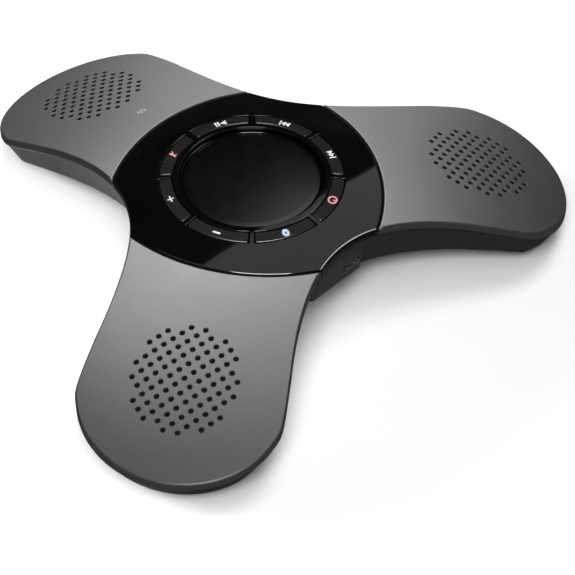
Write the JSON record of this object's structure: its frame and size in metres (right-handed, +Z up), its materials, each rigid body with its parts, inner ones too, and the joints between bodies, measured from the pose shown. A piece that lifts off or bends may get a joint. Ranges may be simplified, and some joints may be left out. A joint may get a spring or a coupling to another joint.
{
  "type": "conference speakerphone",
  "caption": "Three armed desk speakerphone with a domed top, drilled grilles, a ring of keys round a gloss disc, and a data socket.",
  "frame": {"origin": "on the vertical centre line of the key ring, at table level under the rubber feet", "axes": "+Z up, the front arm points along -Y, the other two arms at 30 and 150 degrees from +X"},
  "size_m": [0.2222, 0.2022, 0.0425],
  "materials": {
    "cover_metallic": "fine metallic paint, satin",
    "panel_gloss": "high gloss",
    "housing_satin": "fine moulded texture",
    "key_satin": "satin, laser cut legends",
    "dark_plastic": "moulded",
    "plated_steel": "bright plated",
    "cone_film": "pressed film",
    "foam": "closed cell foam",
    "mesh_cloth": "fine woven acoustic cloth",
    "circuit_board": "solder resist",
    "lead_jacket": "soft jacket",
    "foot_rubber": "soft matt rubber",
    "silicone": "matt silicone",
    "light_chip": "clear cast",
    "battery_wrap": "shrink wrap"
  },
  "bodies": {
    "base": {"front_cover": "cover_metallic", "right_cover": "cover_metallic", "left_cover": "cover_metallic", "top_panel": "panel_gloss", "bottom_housing": "housing_satin", "centre_disc": "panel_gloss", "centre_ring": "housing_satin", "key_mat": "silicone", "key_switches": "plated_steel", "key_lights": "light_chip", "key_board": "circuit_board", "key_carrier": "dark_plastic", "battery_pack": "battery_wrap", "main_board": "circuit_board", "board_chips": "dark_plastic", "radio_module": "plated_steel", "stacking_header": "dark_plastic", "usb_socket": "plated_steel", "usb_tongue": "dark_plastic", "front_speaker_basket": "dark_plastic", "right_speaker_basket": "dark_plastic", "left_speaker_basket": "dark_plastic", "front_speaker_magnet": "plated_steel", "right_speaker_magnet": "plated_steel", "left_speaker_magnet": "plated_steel", "front_speaker_cone": "cone_film", "right_speaker_cone": "cone_film", "left_speaker_cone": "cone_film", "front_speaker_gasket": "foam", "right_speaker_gasket": "foam", "left_speaker_gasket": "foam", "front_dust_mesh": "mesh_cloth", "right_dust_mesh": "mesh_cloth", "left_dust_mesh": "mesh_cloth", "front_microphone": "circuit_board", "right_microphone": "circuit_board", "left_microphone": "circuit_board", "front_speaker_lead": "lead_jacket", "right_speaker_lead": "lead_jacket", "left_speaker_lead": "lead_jacket", "front_foot": "foot_rubber", "right_foot": "foot_rubber", "left_foot": "foot_rubber", "case_screws": "plated_steel", "carrier_screws": "plated_steel", "board_screws": "plated_steel", "speaker_screws": "plated_steel"},
    "key_power": {"key_power": "key_satin"},
    "key_next": {"key_next": "key_satin"},
    "key_previous": {"key_previous": "key_satin"},
    "key_play": {"key_play": "key_satin"},
    "key_mute": {"key_mute": "key_satin"},
    "key_volume_up": {"key_volume_up": "key_satin"},
    "key_volume_down": {"key_volume_down": "key_satin"},
    "key_pairing": {"key_pairing": "key_satin"}
  },
  "joints": [
    {"name": "key_power_press", "type": "slide", "parent": "base", "child": "key_power", "axis": [0, 0, -1], "range_m": [0, 0.0006], "stiffness_N_per_m": 400, "springref_m": -0.001},
    {"name": "key_next_press", "type": "slide", "parent": "base", "child": "key_next", "axis": [0, 0, -1], "range_m": [0, 0.0006], "stiffness_N_per_m": 400, "springref_m": -0.001},
    {"name": "key_previous_press", "type": "slide", "parent": "base", "child": "key_previous", "axis": [0, 0, -1], "range_m": [0, 0.0006], "stiffness_N_per_m": 400, "springref_m": -0.001},
    {"name": "key_play_press", "type": "slide", "parent": "base", "child": "key_play", "axis": [0, 0, -1], "range_m": [0, 0.0006], "stiffness_N_per_m": 400, "springref_m": -0.001},
    {"name": "key_mute_press", "type": "slide", "parent": "base", "child": "key_mute", "axis": [0, 0, -1], "range_m": [0, 0.0006], "stiffness_N_per_m": 400, "springref_m": -0.001},
    {"name": "key_volume_up_press", "type": "slide", "parent": "base", "child": "key_volume_up", "axis": [0, 0, -1], "range_m": [0, 0.0006], "stiffness_N_per_m": 400, "springref_m": -0.001},
    {"name": "key_volume_down_press", "type": "slide", "parent": "base", "child": "key_volume_down", "axis": [0, 0, -1], "range_m": [0, 0.0006], "stiffness_N_per_m": 400, "springref_m": -0.001},
    {"name": "key_pairing_press", "type": "slide", "parent": "base", "child": "key_pairing", "axis": [0, 0, -1], "range_m": [0, 0.0006], "stiffness_N_per_m": 400, "springref_m": -0.001}
  ]
}
